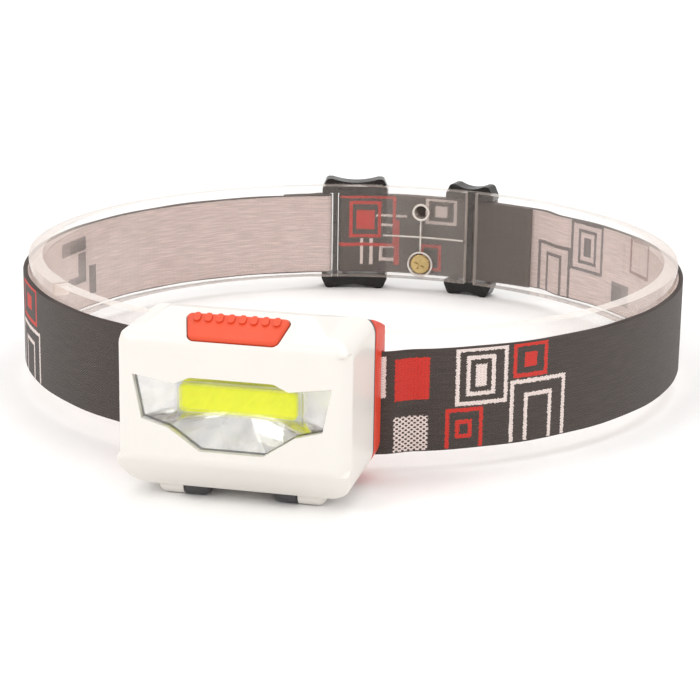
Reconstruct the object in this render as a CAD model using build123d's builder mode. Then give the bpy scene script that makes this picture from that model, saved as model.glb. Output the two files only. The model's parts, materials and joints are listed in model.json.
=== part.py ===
from build123d import *
from math import cos, radians, sin
import os

# Headlamp on an elastic head strap, fitted round the clear former that keeps the strap in a ring.
#
# Frame: the origin is the centre of the head loop at the middle of the strap's width. +Z is up, and
# the lamp looks along -Y. A bearing is an angle round the loop: 0 degrees at the back (+Y), 90 degrees
# on the +X side, 180 degrees at the lamp. A depth is a distance from the loop's axis towards the
# front (-Y). All lengths are in millimetres.

# ---- head loop -------------------------------------------------------------------------------------
FORMER_INNER_R = 83.6
FORMER_OUTER_R = 87.3
FORMER_TOP = 16.0
FORMER_BOTTOM = -12.8
FORMER_EDGE_R = 0.7

STRAP_WIDTH = 25.0
STRAP_THICKNESS = 1.2
STRAP_R = FORMER_OUTER_R + 0.3
STRAP_BRACKET_R = 89.3
STRAP_TAIL_R = 88.8
STRAP_OUTER_R = 90.1
SEWN_END = -18.6
SEWN_FLAP_END = -27.0
FOLD = -14.6
FLAP_R = STRAP_R + STRAP_THICKNESS + 0.1
SEWN_CROSSING_R = 90.4
TAIL_END = 24.5
STEP_OUT_START = 32.0
STEP_OUT_END = 27.0
BRACKET_STEP_INNER = 18.0
BRACKET_STEP_OUTER = 22.0

# ---- lap joint of the former -----------------------------------------------------------------------
LAP_START = -7.0
LAP_TONGUE_END = 11.3
LAP_SHOULDER = 13.5
LAP_SPLIT_R = 85.8
LAP_GAP = 0.15
LAP_BEARING = 1.5
LAP_SCREW_Z = -8.0
LAP_HOLE_Z = 8.5
LAP_GROOVE_Z = 0.2
LAP_GROOVE_DEPTH = 0.8
LAP_GROOVE_WIDTH = 0.8
FORMER_NOTCH_BEARING = -133.4

# ---- sliders ---------------------------------------------------------------------------------------
SLIDER_HALF_HEIGHT = 17.5
SLIDER_INNER_R = 87.6
SLIDER_OUTER_R = 93.0
OUTER_POST_R = 91.65
OUTER_POST_WIDTH = 3.0
INNER_POST_WIDTH = 2.6
INNER_POST_THICKNESS = 0.9
RAIL_START = STRAP_WIDTH / 2 + 0.5
FIXED_BEARING = -12.6
FIXED_WIDTH = 20.6
SEWN_BAR_AT = 89.6
SEWN_BAR_R = 0.8
FOLD_BAR_AT = 90.05
FOLD_BAR_R = 0.7
BAR_GAP = 0.15
MIDDLE_POST_BEARING = -16.56
MIDDLE_POST_WIDTH = 1.5
ADJUSTER_BEARING = 11.1
ADJUSTER_WIDTH = 15.5

# ---- lamp ------------------------------------------------------------------------------------------
LAMP_WIDTH = 53.4
LAMP_BOTTOM = -14.6
LAMP_SHOULDER = 23.3
LAMP_TOP = 26.6
ISLAND_HALF_BASE = 21.0
ISLAND_HALF_TOP = 16.5
LAMP_FRONT = 119.0
LAMP_REAR = 94.4
WALL = 1.6

BRACKET_REAR = 78.0
BOTTOM_CORNER_R = 6.0
SHOULDER_CORNER_R = 4.5
FRONT_EDGE_R = 3.5

BUTTON_LOW = -4.3
BUTTON_HIGH = 3.2
BUTTON_LOW_WIDTH = 20.0
BUTTON_HIGH_WIDTH = 24.0
BUTTON_PROUD = 0.8
BUTTON_TRAVEL = 0.5
BUTTON_GAP = 0.25
BUTTON_RIBS = 8

# ---- window, reflector and light source ---------------------------------------------------------------
WINDOW_HALF = [(9.5, 12.9), (13.0, 11.3), (22.7, 12.8), (20.7, 2.7), (14.5, 0.9), (7.3, -4.0)]
FLOOR_HALF = [(6.5, 10.2), (10.0, 10.2), (14.4, 10.2), (14.4, 2.8), (10.5, 2.8), (5.5, 2.8)]
LENS_FRONT = LAMP_FRONT - 0.3
FLANGE = 1.2
SEAL_THICKNESS = 0.5
REFLECTOR_RIM = LAMP_FRONT - WALL - 1.0
REFLECTOR_BACK = 112.6
COB_LENGTH = 27.3
COB_HEIGHT = 6.5
COB_Z = 6.5
COB_BOARD_THICKNESS = 1.0

# ---- cells: three AAA cells lying across the lamp, one above the other -----------------------------------
CELL_R = 5.2
CELL_LENGTH = 44.5
CELL_DEPTH = 105.8
CELL_PITCH = 10.8
CELL_Z = [-6.6 + CELL_PITCH * row for row in range(3)]
DOOR_THICKNESS = 1.2

# ---- tilt hinge ----------------------------------------------------------------------------------------
HINGE_DEPTH = 109.2
HINGE_Z = -15.0
KNUCKLE_R = 2.45
KNUCKLE_SPLIT = 13.2
KNUCKLE_INNER = 7.0
KNUCKLE_OUTER = 19.7
KNUCKLE_GAP = 0.15
HINGE_PIN_R = 0.9
HINGE_PIN_FIT = 0.05
PLATE_FRONT = 94.0
PLATE_BACK = 92.8
PLATE_SCREW_LENGTH = 3.6
PLATE_INSET = 0.15
KNUCKLE_POCKET_R = KNUCKLE_R + 0.3
ARM_TOP = LAMP_BOTTOM - 0.35
ARM_BOTTOM = -16.7
ARM_WIDTH = 3.5
FOOT_BOTTOM = -17.5
FOOT_WIDTH = 3.0
FOOT_LENGTH = 13.5

CLEAR = 0.3


def sloping_plane(start, end):
    """Plane through two (y, z) points of the lamp's side view; its normal is on the left of the way."""
    step_y = end[0] - start[0]
    step_z = end[1] - start[1]
    return Plane(
        origin=(0, (start[0] + end[0]) / 2, (start[1] + end[1]) / 2),
        x_dir=(1, 0, 0),
        z_dir=(0, -step_z, step_y),
    )


BROW_PLANE = sloping_plane((-LAMP_FRONT, 21.0), (-110.5, LAMP_TOP))
ROOF_PLANE = sloping_plane((-110.5, LAMP_TOP), (-LAMP_REAR, 22.7))
CHIN_PLANE = sloping_plane((-112.5, LAMP_BOTTOM), (-LAMP_FRONT, -7.0))
BRACKET_ROOF_PLANE = sloping_plane((-PLATE_BACK, 22.0), (-84.0, 18.4))

os.makedirs("parts", exist_ok=True)


def save(piece, label):
    """Label a finished piece and write it to its own STEP file."""
    piece.part.label = label
    export_step(piece.part, f"parts/{label}.step")


def on_ring(radius, bearing):
    """Point at a radius and a bearing round the head loop."""
    return (radius * sin(radians(bearing)), radius * cos(radians(bearing)))


def front(depth):
    """Plane across the lamp at a depth: its x is +X, its y is +Z and its normal points forwards."""
    return Plane.XZ.offset(depth)


def tangent_plane(radius, bearing):
    """Plane touching the loop at a bearing: its y is +Z and its normal points away from the head."""
    x, y = on_ring(radius, bearing)
    return Plane(
        origin=(x, y, 0),
        x_dir=(-cos(radians(bearing)), sin(radians(bearing)), 0),
        z_dir=(sin(radians(bearing)), cos(radians(bearing)), 0),
    )


def band_arc(inner_r, thickness, start, stop):
    """Face of a curved run of band between two bearings."""
    outer_r = inner_r + thickness
    middle = (start + stop) / 2
    with BuildSketch() as run:
        with BuildLine():
            ThreePointArc(on_ring(outer_r, start), on_ring(outer_r, middle), on_ring(outer_r, stop))
            Line(on_ring(outer_r, stop), on_ring(inner_r, stop))
            ThreePointArc(on_ring(inner_r, stop), on_ring(inner_r, middle), on_ring(inner_r, start))
            Line(on_ring(inner_r, start), on_ring(outer_r, start))
        make_face()
    return run.sketch


def band_step(start_r, start, stop_r, stop, thickness):
    """Face of a short run of band that changes from one radius to another."""
    with BuildSketch() as run:
        with BuildLine():
            Polyline(
                on_ring(start_r, start),
                on_ring(start_r + thickness, start),
                on_ring(stop_r + thickness, stop),
                on_ring(stop_r, stop),
                close=True,
            )
        make_face()
    return run.sketch


def band_loop(centre_r, bearing, bar_r):
    """Face of the webbing wrapped round a bar."""
    with BuildSketch() as run:
        with Locations(on_ring(centre_r, bearing)):
            Circle(bar_r + BAR_GAP + STRAP_THICKNESS)
            Circle(bar_r + BAR_GAP, mode=Mode.SUBTRACT)
    return run.sketch


def mirrored_polygon(half_points, inset=0.0):
    """Face of an outline given by its +X half, listed from the top clockwise, grown or shrunk evenly."""
    left = [(-x, z) for x, z in reversed(half_points)]
    with BuildSketch() as outline:
        with BuildLine():
            Polyline(*half_points, *left, close=True)
        make_face()
        if inset:
            offset(amount=-inset, kind=Kind.INTERSECTION, mode=Mode.REPLACE)
    return outline.sketch


def lamp_outline(inset=0.0):
    """Front outline that the lamp shell and the bracket share, shrunk evenly by an inset."""
    half = LAMP_WIDTH / 2
    corners = [
        (-half, LAMP_BOTTOM),
        (half, LAMP_BOTTOM),
        (half, LAMP_SHOULDER),
        (ISLAND_HALF_BASE, LAMP_SHOULDER),
        (ISLAND_HALF_TOP, LAMP_TOP),
        (-ISLAND_HALF_TOP, LAMP_TOP),
        (-ISLAND_HALF_BASE, LAMP_SHOULDER),
        (-half, LAMP_SHOULDER),
    ]
    half_radii = [BOTTOM_CORNER_R, SHOULDER_CORNER_R, 2, 3]
    radii = half_radii[:1] + half_radii + half_radii[:0:-1]
    with BuildSketch() as outline:
        with BuildLine():
            FilletPolyline(*corners, radius=radii, close=True)
        make_face()
        if inset:
            offset(amount=-inset, mode=Mode.REPLACE)
    return outline.sketch


def beyond(plane):
    """Block on the outer side of a sloping plane, wide enough to trim the lamp or the bracket."""
    with BuildPart() as block:
        with BuildSketch(plane):
            Rectangle(LAMP_WIDTH + 10, 34)
        extrude(amount=12)
    return block.part


def button_outline(grow=0.0):
    """Trapezium of the switch button on the brow, grown evenly."""
    with BuildSketch() as outline:
        with BuildLine():
            FilletPolyline(
                (-BUTTON_LOW_WIDTH / 2, BUTTON_LOW),
                (BUTTON_LOW_WIDTH / 2, BUTTON_LOW),
                (BUTTON_HIGH_WIDTH / 2, BUTTON_HIGH),
                (-BUTTON_HIGH_WIDTH / 2, BUTTON_HIGH),
                radius=[1.5, 1.5, 1.2, 1.2],
                close=True,
            )
        make_face()
        if grow:
            offset(amount=grow, mode=Mode.REPLACE)
    return outline.sketch


# ==== head strap ======================================================================================

def make_strap():
    """One length of elastic webbing: sewn round the fixed slider, past the lamp, and folded back."""
    with BuildPart() as strap:
        with BuildSketch(Plane.XY.offset(-STRAP_WIDTH / 2)):
            add(band_loop(SEWN_BAR_AT, SEWN_END, SEWN_BAR_R))
            add(band_arc(SEWN_CROSSING_R, STRAP_THICKNESS, SEWN_END - 1.0, SEWN_END - 1.6))
            add(band_step(SEWN_CROSSING_R, SEWN_END - 1.6, FLAP_R, SEWN_END - 3.4, STRAP_THICKNESS))
            add(band_arc(FLAP_R, STRAP_THICKNESS, SEWN_END - 3.4, SEWN_FLAP_END))
            add(band_arc(STRAP_R, STRAP_THICKNESS, SEWN_END, -180 + BRACKET_STEP_OUTER))
            add(band_step(STRAP_R, -180 + BRACKET_STEP_OUTER, STRAP_BRACKET_R, -180 + BRACKET_STEP_INNER,
                          STRAP_THICKNESS))
            add(band_arc(STRAP_BRACKET_R, STRAP_THICKNESS, -180 + BRACKET_STEP_INNER,
                         -180 - BRACKET_STEP_INNER))
            add(band_step(STRAP_BRACKET_R, -180 - BRACKET_STEP_INNER, STRAP_R, -180 - BRACKET_STEP_OUTER,
                          STRAP_THICKNESS))
            add(band_arc(STRAP_R, STRAP_THICKNESS, -180 - BRACKET_STEP_OUTER, STEP_OUT_START - 360))
            add(band_step(STRAP_R, STEP_OUT_START, STRAP_OUTER_R, STEP_OUT_END, STRAP_THICKNESS))
            add(band_arc(STRAP_OUTER_R, STRAP_THICKNESS, STEP_OUT_END, FOLD))
            add(band_loop(FOLD_BAR_AT, FOLD, FOLD_BAR_R))
            add(band_arc(STRAP_TAIL_R, STRAP_THICKNESS - 0.1, FOLD, TAIL_END))
            with Locations(on_ring(SEWN_BAR_AT, SEWN_END)):
                Circle(SEWN_BAR_R + BAR_GAP, mode=Mode.SUBTRACT)
            with Locations(on_ring(FOLD_BAR_AT, FOLD)):
                Circle(FOLD_BAR_R + BAR_GAP, mode=Mode.SUBTRACT)
        extrude(amount=STRAP_WIDTH)
    return strap


def make_strap_stitching():
    """Rows of thread that close the loop sewn round the fixed slider's bar."""
    stitch_length = 2.0
    flap_face = FLAP_R + STRAP_THICKNESS
    with BuildPart() as stitching:
        for bearing in (SEWN_END - 5.0, SEWN_END - 6.6):
            for row in range(7):
                height = (row - 3) * 3.2
                with BuildSketch(tangent_plane(flap_face, bearing)):
                    with Locations((0, height)):
                        SlotOverall(stitch_length, 0.5, rotation=90)
                extrude(amount=0.3)
    return stitching


save(make_strap(), "strap_webbing")
save(make_strap_stitching(), "strap_stitching")


# ==== former ==========================================================================================

def make_former():
    """Clear strip bent to a ring, whose ends lap at the back and are held by one screw."""
    height = FORMER_TOP - FORMER_BOTTOM
    inner_tongue = LAP_SPLIT_R - FORMER_INNER_R
    outer_tongue_r = LAP_SPLIT_R + LAP_GAP
    with BuildPart() as former:
        with BuildSketch(Plane.XY.offset(FORMER_BOTTOM)):
            add(band_arc(FORMER_INNER_R, FORMER_OUTER_R - FORMER_INNER_R, LAP_START, LAP_SHOULDER - 360))
            add(band_arc(FORMER_INNER_R, inner_tongue, LAP_START, LAP_TONGUE_END))
            add(band_arc(outer_tongue_r, FORMER_OUTER_R - outer_tongue_r, LAP_START + 1.0, LAP_SHOULDER))
        extrude(amount=height)
        with BuildSketch(Plane.XY.offset(LAP_GROOVE_Z)):
            add(band_arc(FORMER_INNER_R - 1, 1 + LAP_GROOVE_DEPTH, LAP_START, LAP_TONGUE_END))
        extrude(amount=LAP_GROOVE_WIDTH, mode=Mode.SUBTRACT)
        with BuildSketch(tangent_plane(FORMER_OUTER_R + 1, LAP_BEARING)):
            with Locations((0, LAP_SCREW_Z)):
                Circle(1.3)
            with Locations((0, LAP_HOLE_Z)):
                Circle(2.0)
        extrude(amount=-8, mode=Mode.SUBTRACT)
        with BuildSketch(tangent_plane(FORMER_INNER_R + 1.5, LAP_BEARING)):
            with Locations((0, LAP_SCREW_Z)):
                Circle(3.4)
        extrude(amount=-4, mode=Mode.SUBTRACT)
        with BuildSketch(tangent_plane(FORMER_INNER_R + 0.5, LAP_BEARING)):
            with Locations((0, LAP_HOLE_Z)):
                Circle(2.8)
            with Locations((0, (LAP_HOLE_Z + LAP_SCREW_Z) / 2 + 0.4)):
                Rectangle(1.0, 8.8)
        extrude(amount=-4, mode=Mode.SUBTRACT)
        with BuildSketch(tangent_plane(FORMER_OUTER_R + 1, FORMER_NOTCH_BEARING)):
            with Locations((0, FORMER_TOP)):
                Rectangle(1.6, 6.0)
        extrude(amount=-8, mode=Mode.SUBTRACT)
    return former


def make_former_screw():
    """Cross-head screw through both tongues of the former's lap."""
    with BuildPart() as screw:
        with BuildSketch(tangent_plane(FORMER_INNER_R + 1.4, LAP_BEARING)):
            with Locations((0, LAP_SCREW_Z)):
                Circle(3.1)
        extrude(amount=-1.2)
        fillet(screw.faces().sort_by_distance((0, 0, LAP_SCREW_Z))[0].edges(), 0.5)
        with BuildSketch(tangent_plane(FORMER_INNER_R + 1.4, LAP_BEARING)):
            with Locations((0, LAP_SCREW_Z)):
                Circle(1.2)
        extrude(amount=2.0)
        with BuildSketch(tangent_plane(FORMER_INNER_R + 0.8, LAP_BEARING)):
            with Locations((0, LAP_SCREW_Z)):
                Rectangle(3.4, 0.7, rotation=25)
                Rectangle(0.7, 3.4, rotation=25)
        extrude(amount=-2, mode=Mode.SUBTRACT)
    return screw


save(make_former(), "former_hoop")
save(make_former_screw(), "former_screw")


# ==== sliders =========================================================================================

def rail_outline(width, sign):
    """Dog-bone end rail of a slider: a raised lobe at each end and a shallow dip between them."""
    half = width / 2
    low = sign * RAIL_START
    high = sign * SLIDER_HALF_HEIGHT
    dip = sign * (SLIDER_HALF_HEIGHT - 1.1)
    with BuildSketch() as rail:
        with BuildLine():
            Polyline((-half + 3.2, high), (-half + 1.4, high), (-half, low + sign * 1.4), (-half, low))
            Line((-half, low), (half, low))
            Polyline((half, low), (half, low + sign * 1.4), (half - 1.4, high), (half - 3.2, high))
            ThreePointArc((half - 3.2, high), (0, dip), (-half + 3.2, high))
        make_face()
        lobe_corners = [v for v in rail.vertices() if abs(v.Y - high) < 0.01 and abs(v.X) > half - 2]
        fillet(lobe_corners, 1.3)
    return rail.sketch


def make_slider(bearing, width, inner_posts, outer_posts):
    """Slider with two end rails joined by posts inside and outside the webbing."""
    with BuildPart() as slider:
        with BuildSketch(tangent_plane(SLIDER_INNER_R, bearing)):
            add(rail_outline(width, 1))
            add(rail_outline(width, -1))
        extrude(amount=SLIDER_OUTER_R - SLIDER_INNER_R)
        outwards = (sin(radians(bearing)), cos(radians(bearing)), 0)
        rail_edges = slider.edges().filter_by(Axis((0, 0, 0), outwards))
        fillet(rail_edges.group_by(SortBy.LENGTH)[-1], 0.5)
        with BuildSketch(tangent_plane(SLIDER_INNER_R, bearing)):
            with Locations(*[(x, 0) for x in inner_posts]):
                Rectangle(INNER_POST_WIDTH, 2 * RAIL_START + 1)
        extrude(amount=INNER_POST_THICKNESS)
        with BuildSketch(tangent_plane(OUTER_POST_R, bearing)):
            with Locations(*[(x, 0) for x in outer_posts]):
                Rectangle(OUTER_POST_WIDTH, 2 * RAIL_START + 1)
        extrude(amount=SLIDER_OUTER_R - OUTER_POST_R)
    return slider


def make_fixed_slider():
    """Slider that the strap is sewn to: a bar for the sewn loop, a bar for the fold, and a keeper post."""
    bar_length = 2 * RAIL_START + 1
    with BuildPart() as slider:
        with BuildSketch(tangent_plane(SLIDER_INNER_R, FIXED_BEARING)):
            add(rail_outline(FIXED_WIDTH, 1))
            add(rail_outline(FIXED_WIDTH, -1))
        extrude(amount=SLIDER_OUTER_R - SLIDER_INNER_R)
        with BuildSketch(Plane.XY.offset(-bar_length / 2)):
            with Locations(on_ring(SEWN_BAR_AT, SEWN_END)):
                Circle(SEWN_BAR_R)
            with Locations(on_ring(FOLD_BAR_AT, FOLD)):
                Circle(FOLD_BAR_R)
        extrude(amount=bar_length)
        with BuildSketch(tangent_plane(OUTER_POST_R, FIXED_BEARING)):
            with Locations((-FIXED_WIDTH / 2 + 1.8, 0)):
                Rectangle(OUTER_POST_WIDTH, bar_length)
        extrude(amount=SLIDER_OUTER_R - OUTER_POST_R)
        with BuildSketch(tangent_plane(SLIDER_INNER_R + 0.4, MIDDLE_POST_BEARING)):
            Rectangle(MIDDLE_POST_WIDTH, bar_length)
        extrude(amount=3.8)
    return slider


save(make_fixed_slider(), "slider_fixed")
save(make_slider(ADJUSTER_BEARING, ADJUSTER_WIDTH, [0], [-6.0, 6.0]), "slider_adjuster")


# ==== bracket on the strap ============================================================================

PLATE_SCREWS = [(-19, -6), (19, -6), (-19, 15), (19, 15)]
PLATE_SCREW_R = 0.85
BRACKET_WALL = 1.8
BRACKET_HOLLOW_DEPTH = 1.0


def make_rear_bracket():
    """Shell that carries the lamp on the strap; the strap runs through a curved slot behind it."""
    slot_r = STRAP_BRACKET_R - 0.2
    with BuildPart() as bracket:
        with BuildSketch(front(BRACKET_REAR)):
            add(lamp_outline())
        extrude(amount=PLATE_BACK - BRACKET_REAR)
        add(beyond(BRACKET_ROOF_PLANE), mode=Mode.SUBTRACT)
        fillet(bracket.faces().sort_by(Axis.Y)[0].edges(), 0.6)
        add(make_bracket_hollow(), mode=Mode.SUBTRACT)
        with BuildSketch(front(PLATE_BACK)):
            with Locations(*PLATE_SCREWS):
                Circle(2.6)
        extrude(amount=-BRACKET_HOLLOW_DEPTH - 0.4)
        with BuildSketch(front(PLATE_BACK)):
            with Locations(*PLATE_SCREWS):
                Circle(PLATE_SCREW_R)
        extrude(amount=-PLATE_SCREW_LENGTH, mode=Mode.SUBTRACT)
        with BuildSketch(Plane.XY.offset(-40)):
            Circle(FORMER_OUTER_R + CLEAR)
        extrude(amount=80, mode=Mode.SUBTRACT)
        with BuildSketch(Plane.XY.offset(-STRAP_WIDTH / 2 - CLEAR)):
            Circle(STRAP_BRACKET_R + STRAP_THICKNESS + CLEAR)
            Circle(slot_r, mode=Mode.SUBTRACT)
        extrude(amount=STRAP_WIDTH + 2 * CLEAR, mode=Mode.SUBTRACT)
    return bracket


def make_bracket_hollow():
    """Space behind the tilt plate, which leaves an even wall round the bracket."""
    with BuildPart() as hollow:
        with BuildSketch(front(PLATE_BACK)):
            add(lamp_outline(BRACKET_WALL))
        extrude(amount=-BRACKET_HOLLOW_DEPTH)
        add(beyond(BRACKET_ROOF_PLANE.offset(-BRACKET_WALL)), mode=Mode.SUBTRACT)
    return hollow.part


def knuckle(inner_x, outer_x):
    """Half of a domed hinge knuckle, from its widest face towards its rounded end."""
    with BuildPart() as half:
        with BuildSketch(Plane.YZ.offset(inner_x)):
            with Locations((-HINGE_DEPTH, HINGE_Z)):
                Circle(KNUCKLE_R)
        extrude(amount=outer_x - inner_x)
        end_face = half.faces().sort_by(Axis.X)[-1 if outer_x > inner_x else 0]
        fillet(end_face.edges(), KNUCKLE_R - 0.25)
    return half.part


def make_tilt_plate():
    """Dark plate screwed to the bracket, with two arms that reach under the lamp to the hinge."""
    arm_x = KNUCKLE_SPLIT - KNUCKLE_GAP - ARM_WIDTH / 2
    foot_x = KNUCKLE_SPLIT - KNUCKLE_GAP - FOOT_WIDTH / 2
    arm_z = (ARM_BOTTOM + ARM_TOP) / 2
    with BuildPart() as plate:
        with BuildSketch(front(PLATE_BACK)):
            add(lamp_outline(PLATE_INSET))
            with Locations((-arm_x, arm_z + 2), (arm_x, arm_z + 2)):
                Rectangle(ARM_WIDTH, ARM_TOP - ARM_BOTTOM + 4)
        extrude(amount=PLATE_FRONT - PLATE_BACK)
        add(beyond(BRACKET_ROOF_PLANE.offset(-PLATE_INSET)), mode=Mode.SUBTRACT)
        with BuildSketch(front(PLATE_BACK)):
            with Locations((-arm_x, arm_z), (arm_x, arm_z)):
                Rectangle(ARM_WIDTH, ARM_TOP - ARM_BOTTOM)
        extrude(amount=HINGE_DEPTH - 1.2 - PLATE_BACK)
        with BuildSketch(front(PLATE_BACK)):
            with Locations((-foot_x, (FOOT_BOTTOM + ARM_TOP) / 2), (foot_x, (FOOT_BOTTOM + ARM_TOP) / 2)):
                Rectangle(FOOT_WIDTH, ARM_TOP - FOOT_BOTTOM)
        extrude(amount=FOOT_LENGTH)
        add(knuckle(KNUCKLE_SPLIT - KNUCKLE_GAP, KNUCKLE_INNER))
        add(knuckle(-KNUCKLE_SPLIT + KNUCKLE_GAP, -KNUCKLE_INNER))
        with BuildSketch(Plane.YZ.offset(-KNUCKLE_SPLIT)):
            with Locations((-HINGE_DEPTH, HINGE_Z)):
                Circle(HINGE_PIN_R)
        extrude(amount=4.4, mode=Mode.SUBTRACT)
        with BuildSketch(Plane.YZ.offset(KNUCKLE_SPLIT)):
            with Locations((-HINGE_DEPTH, HINGE_Z)):
                Circle(HINGE_PIN_R)
        extrude(amount=-4.4, mode=Mode.SUBTRACT)
        with BuildSketch(front(PLATE_BACK)):
            with Locations(*PLATE_SCREWS):
                Circle(1.1)
        extrude(amount=PLATE_FRONT - PLATE_BACK, mode=Mode.SUBTRACT)
        with BuildSketch(front(PLATE_FRONT - 0.8)):
            with Locations(*PLATE_SCREWS):
                Circle(1.9)
        extrude(amount=2, mode=Mode.SUBTRACT)
    return plate


def make_plate_screws():
    """Four small screws that fasten the tilt plate to the bracket."""
    with BuildPart() as screws:
        with BuildSketch(front(PLATE_FRONT - 0.8)):
            with Locations(*PLATE_SCREWS):
                Circle(1.75)
        extrude(amount=0.7)
        with BuildSketch(front(PLATE_FRONT - 0.8)):
            with Locations(*PLATE_SCREWS):
                Circle(PLATE_SCREW_R)
        extrude(amount=-PLATE_SCREW_LENGTH)
        with BuildSketch(front(PLATE_FRONT - 0.4)):
            with Locations(*PLATE_SCREWS):
                Rectangle(2.2, 0.45)
                Rectangle(0.45, 2.2)
        extrude(amount=1, mode=Mode.SUBTRACT)
    return screws


def make_hinge_pins():
    """Steel pins, one in each knuckle pair, fixed in the tilt plate."""
    with BuildPart() as pins:
        with BuildSketch(Plane.YZ.offset(KNUCKLE_SPLIT - 4.4)):
            with Locations((-HINGE_DEPTH, HINGE_Z)):
                Circle(HINGE_PIN_R)
        extrude(amount=8.4)
        with BuildSketch(Plane.YZ.offset(-KNUCKLE_SPLIT + 4.4)):
            with Locations((-HINGE_DEPTH, HINGE_Z)):
                Circle(HINGE_PIN_R)
        extrude(amount=-8.4)
    return pins


save(make_rear_bracket(), "rear_bracket")
save(make_tilt_plate(), "tilt_plate")
save(make_plate_screws(), "plate_screws")
save(make_hinge_pins(), "hinge_pins")


# ==== lamp housing ====================================================================================

SHELL_BOSSES = [(-15.0, 21.6), (15.0, 21.6)]
SHELL_BOSS_R = 1.35
BOSS_START = 104.0
BOSS_LENGTH = 8.0
BOSS_HOLE_R = 0.8
EAR_FRONT = BOSS_START - 0.1
EAR_THICKNESS = 1.2
EAR_BACK = EAR_FRONT - EAR_THICKNESS
EAR_WIDTH = 4.4


def make_front_shell():
    """White housing: front wall with the window, side walls, sloping brow and two hinge lugs."""
    with BuildPart() as shell:
        with BuildSketch(front(LAMP_REAR)):
            add(lamp_outline())
        extrude(amount=LAMP_FRONT - LAMP_REAR)
        for plane in (BROW_PLANE, ROOF_PLANE, CHIN_PLANE):
            add(beyond(plane), mode=Mode.SUBTRACT)
        fillet(shell.faces().sort_by(Axis.Y)[0].edges(), FRONT_EDGE_R)
        add(make_shell_void(), mode=Mode.SUBTRACT)
        for side in (-1, 1):
            with BuildSketch(Plane.YZ.offset(side * (KNUCKLE_INNER - 1.3))):
                with Locations((-HINGE_DEPTH, HINGE_Z)):
                    Circle(KNUCKLE_POCKET_R + 1.0)
            extrude(amount=side * (KNUCKLE_SPLIT + 1.6 - KNUCKLE_INNER))
        with BuildSketch(front(LAMP_REAR - 1)):
            with Locations((0, LAMP_BOTTOM - 3.0)):
                Rectangle(LAMP_WIDTH, 6.0)
        extrude(amount=LAMP_FRONT - LAMP_REAR + 2, mode=Mode.SUBTRACT)
        add(beyond(CHIN_PLANE), mode=Mode.SUBTRACT)
        add(knuckle(KNUCKLE_SPLIT + KNUCKLE_GAP, KNUCKLE_OUTER))
        add(knuckle(-KNUCKLE_SPLIT - KNUCKLE_GAP, -KNUCKLE_OUTER))
        for side in (-1, 1):
            with BuildSketch(Plane.YZ.offset(side * (KNUCKLE_SPLIT + KNUCKLE_GAP))):
                with Locations((-HINGE_DEPTH, HINGE_Z)):
                    Circle(KNUCKLE_POCKET_R)
            extrude(amount=-side * (KNUCKLE_SPLIT + KNUCKLE_GAP - KNUCKLE_INNER + 0.3), mode=Mode.SUBTRACT)
            with BuildSketch(Plane.YZ.offset(side * (KNUCKLE_SPLIT - 1))):
                with Locations((-HINGE_DEPTH, HINGE_Z)):
                    Circle(HINGE_PIN_R + HINGE_PIN_FIT)
            extrude(amount=side * 5.2, mode=Mode.SUBTRACT)
        with BuildSketch(front(BOSS_START)):
            with Locations(*SHELL_BOSSES):
                Circle(SHELL_BOSS_R)
            with Locations(*[(x, z + 1.5) for x, z in SHELL_BOSSES]):
                Rectangle(1.6, 2.6)
        extrude(amount=BOSS_LENGTH)
        with BuildSketch(front(BOSS_START)):
            with Locations(*SHELL_BOSSES):
                Circle(BOSS_HOLE_R)
        extrude(amount=6, mode=Mode.SUBTRACT)
        with BuildSketch(front(LAMP_FRONT - 4)):
            add(mirrored_polygon(WINDOW_HALF))
        extrude(amount=10, mode=Mode.SUBTRACT)
        with BuildSketch(BROW_PLANE.offset(-4)):
            add(button_outline(BUTTON_GAP))
        extrude(amount=8, mode=Mode.SUBTRACT)
    return shell


def make_shell_void():
    """Space inside the housing, which follows the front wall and the brow."""
    with BuildPart() as void:
        with BuildSketch(front(LAMP_REAR - 1)):
            add(lamp_outline(WALL))
        extrude(amount=LAMP_FRONT - WALL - LAMP_REAR + 1)
        for plane in (BROW_PLANE, ROOF_PLANE, CHIN_PLANE):
            add(beyond(plane.offset(-WALL)), mode=Mode.SUBTRACT)
    return void.part


save(make_front_shell(), "front_shell")


# ==== window and light source =========================================================================

def make_lens():
    """Clear window, flush in the front wall, with a flange behind the wall."""
    with BuildPart() as lens:
        with BuildSketch(front(REFLECTOR_RIM)):
            add(mirrored_polygon(WINDOW_HALF, -FLANGE))
        extrude(amount=0.5)
        with BuildSketch(front(REFLECTOR_RIM)):
            add(mirrored_polygon(WINDOW_HALF, 0.1))
        extrude(amount=LENS_FRONT - REFLECTOR_RIM)
    return lens


def make_window_seal():
    """Flat gasket between the window's flange and the front wall."""
    with BuildPart() as seal:
        with BuildSketch(front(LAMP_FRONT - WALL - SEAL_THICKNESS)):
            add(mirrored_polygon(WINDOW_HALF, -FLANGE))
            add(mirrored_polygon(WINDOW_HALF, -0.1), mode=Mode.SUBTRACT)
        extrude(amount=SEAL_THICKNESS)
    return seal


def make_reflector():
    """Mirrored tray whose flat facets run from the window's outline down to the light source."""
    with BuildPart() as cavity:
        with BuildSketch(front(REFLECTOR_BACK)):
            add(mirrored_polygon(FLOOR_HALF))
        with BuildSketch(front(REFLECTOR_RIM)):
            add(mirrored_polygon(WINDOW_HALF, 0.1))
        loft(ruled=True)
    with BuildPart() as reflector:
        with BuildSketch(front(REFLECTOR_BACK)):
            add(mirrored_polygon(WINDOW_HALF, -FLANGE))
        extrude(amount=REFLECTOR_RIM - REFLECTOR_BACK)
        add(cavity.part, mode=Mode.SUBTRACT)
    return reflector


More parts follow.
